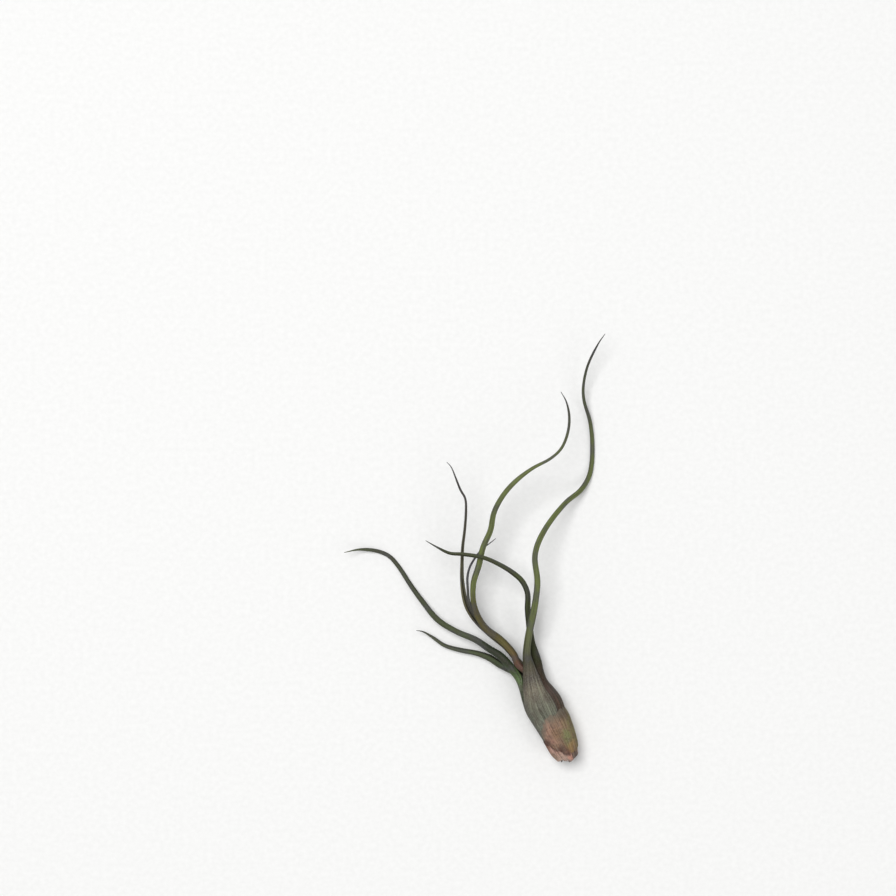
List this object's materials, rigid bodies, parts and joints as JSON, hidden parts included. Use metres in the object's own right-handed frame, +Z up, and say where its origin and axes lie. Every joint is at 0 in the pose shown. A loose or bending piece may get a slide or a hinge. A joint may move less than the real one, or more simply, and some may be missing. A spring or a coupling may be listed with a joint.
{
  "type": "air plant",
  "caption": "Bulb-forming air plant lying on its side: a hollow bulb of inflated leaf sheaths, with long curling leaves rolled into slim grooved tubes.",
  "frame": {"origin": "on the surface that the plant lies on, under the middle of its bounding box", "axes": "+Y from the bulb to the tip of the longest leaf, +X to the right seen from above with the bulb towards the viewer, +Z up"},
  "size_m": [0.082, 0.1343, 0.0196],
  "materials": {
    "olive_leaf": "matte olive leaf with minute grey scales",
    "green_leaf": "matte dark green leaf with minute grey scales",
    "grey_leaf": "matte grey-green leaf, drying brown at the tip",
    "dry_sheath": "dry papery sheath, pink-brown, finely striated",
    "stem": "dark woody stem with broken roots"
  },
  "bodies": {
    "root": {"leaf_long_right": "olive_leaf", "leaf_front_left": "olive_leaf", "leaf_low_left": "green_leaf", "leaf_short_left": "green_leaf", "leaf_arched": "grey_leaf", "leaf_thin_upright": "grey_leaf", "leaf_inner_thin": "grey_leaf", "old_sheath": "dry_sheath", "base_scale_right": "dry_sheath", "base_scale_front": "dry_sheath", "base_scale_left": "dry_sheath", "stem": "stem"}
  },
  "joints": []
}
